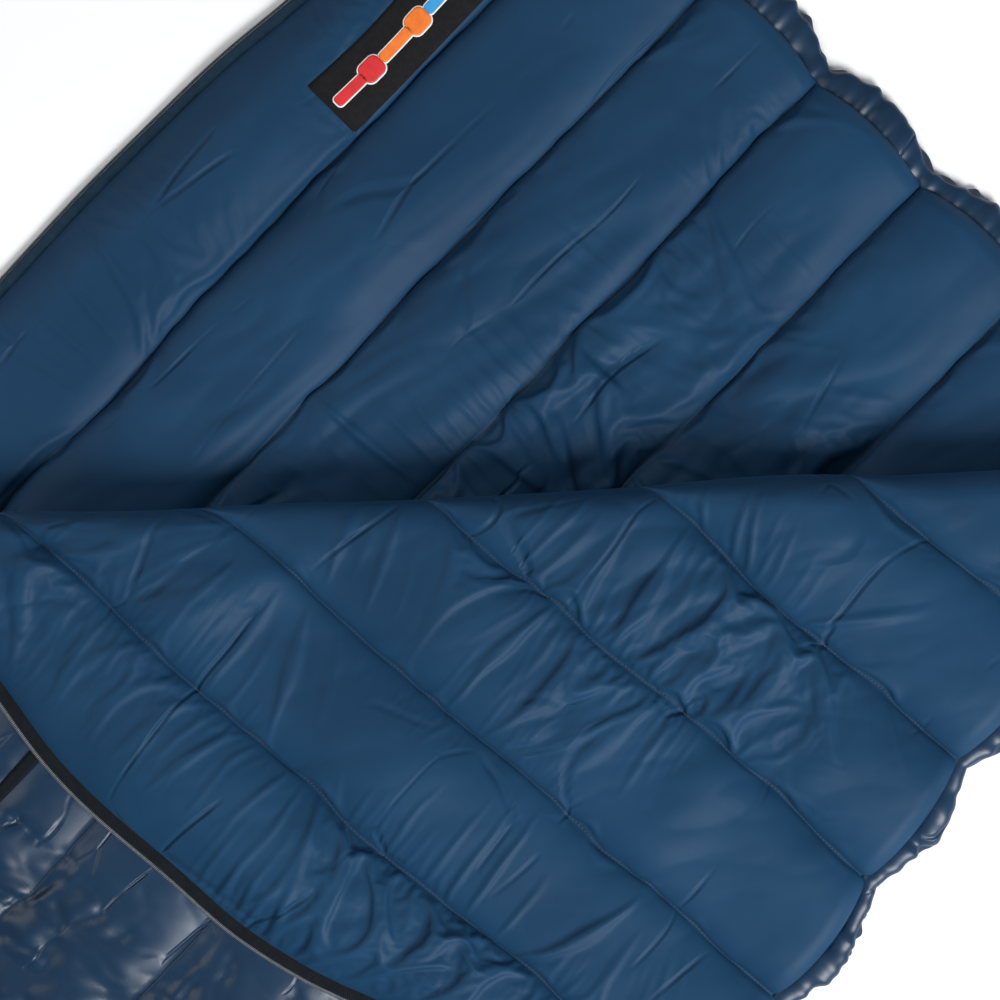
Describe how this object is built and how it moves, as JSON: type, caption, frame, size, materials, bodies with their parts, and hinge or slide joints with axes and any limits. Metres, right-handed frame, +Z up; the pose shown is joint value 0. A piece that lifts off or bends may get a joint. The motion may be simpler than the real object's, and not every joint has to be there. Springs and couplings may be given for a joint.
{
  "type": "rectangular sleeping bag",
  "caption": "Rectangular quilted sleeping bag lying flat, zip undone and one mouth corner of the upper leaf turned back.",
  "frame": {"origin": "on the floor under the middle of the back leaf", "axes": "+Y from the foot to the mouth, -X towards the zip edge, +X towards the spine, +Z up"},
  "size_m": [0.8798, 1.918, 0.086],
  "materials": {
    "shell": "glossy crinkled polyester",
    "lining": "semi-matt woven polyester",
    "fill": "matt fibre batting",
    "tape": "matt ribbed zip tape",
    "coil": "satin nylon coil",
    "zip_plastic": "moulded plastic",
    "slider_metal": "lacquered zinc",
    "label": "satin woven label"
  },
  "bodies": {
    "back": {"back_shell": "shell", "back_lining": "lining", "back_mouth_hem": "shell", "back_fill_1": "fill", "back_fill_2": "fill", "back_fill_3": "fill", "back_fill_4": "fill", "back_fill_5": "fill", "back_fill_6": "fill", "back_fill_7": "fill", "back_zip_tape_side": "tape", "back_zip_tape_foot": "tape", "back_zip_coil_side": "coil", "back_zip_coil_foot": "coil", "back_top_stop": "slider_metal", "retainer_box": "zip_plastic", "temperature_label": "label"},
    "front": {"front_shell": "shell", "front_lining": "lining", "front_fill_1": "fill", "front_fill_2": "fill", "front_fill_3": "fill", "front_fill_4": "fill", "front_fill_5": "fill", "front_fill_6": "fill", "front_fill_7": "fill", "front_zip_tape_side": "tape", "front_zip_tape_foot": "tape", "front_zip_coil_side": "coil", "front_zip_coil_foot": "coil", "insertion_pin": "zip_plastic"},
    "flap": {"flap_shell": "shell", "flap_lining": "lining", "flap_mouth_hem": "shell", "flap_fill_1": "fill", "flap_fill_2": "fill", "flap_fill_3": "fill", "flap_fill_4": "fill", "flap_fill_5": "fill", "flap_fill_6": "fill", "flap_fill_7": "fill", "flap_zip_tape": "tape", "flap_zip_coil": "coil", "flap_top_stop": "slider_metal"},
    "slider": {"slider_body": "slider_metal"},
    "pull": {"pull_tab": "slider_metal"}
  },
  "joints": [
    {"name": "front_open", "type": "hinge", "parent": "back", "child": "front", "pos_m": [0.4, 0, 0.029], "axis": [0, 1, 0], "range_deg": [0, 180]},
    {"name": "corner_unfold", "type": "hinge", "parent": "front", "child": "flap", "pos_m": [0.4, 0.95, 0.058], "axis": [-0.682, -0.7314, 0], "range_deg": [0, 180]},
    {"name": "slider_travel", "type": "slide", "parent": "back", "child": "slider", "axis": [0, 1, 0], "range_m": [0, 1.85]},
    {"name": "pull_swing", "type": "hinge", "parent": "slider", "child": "pull", "pos_m": [-0.4172, -0.93, 0.0099], "axis": [1, 0, 0], "range_deg": [0, 175]}
  ]
}
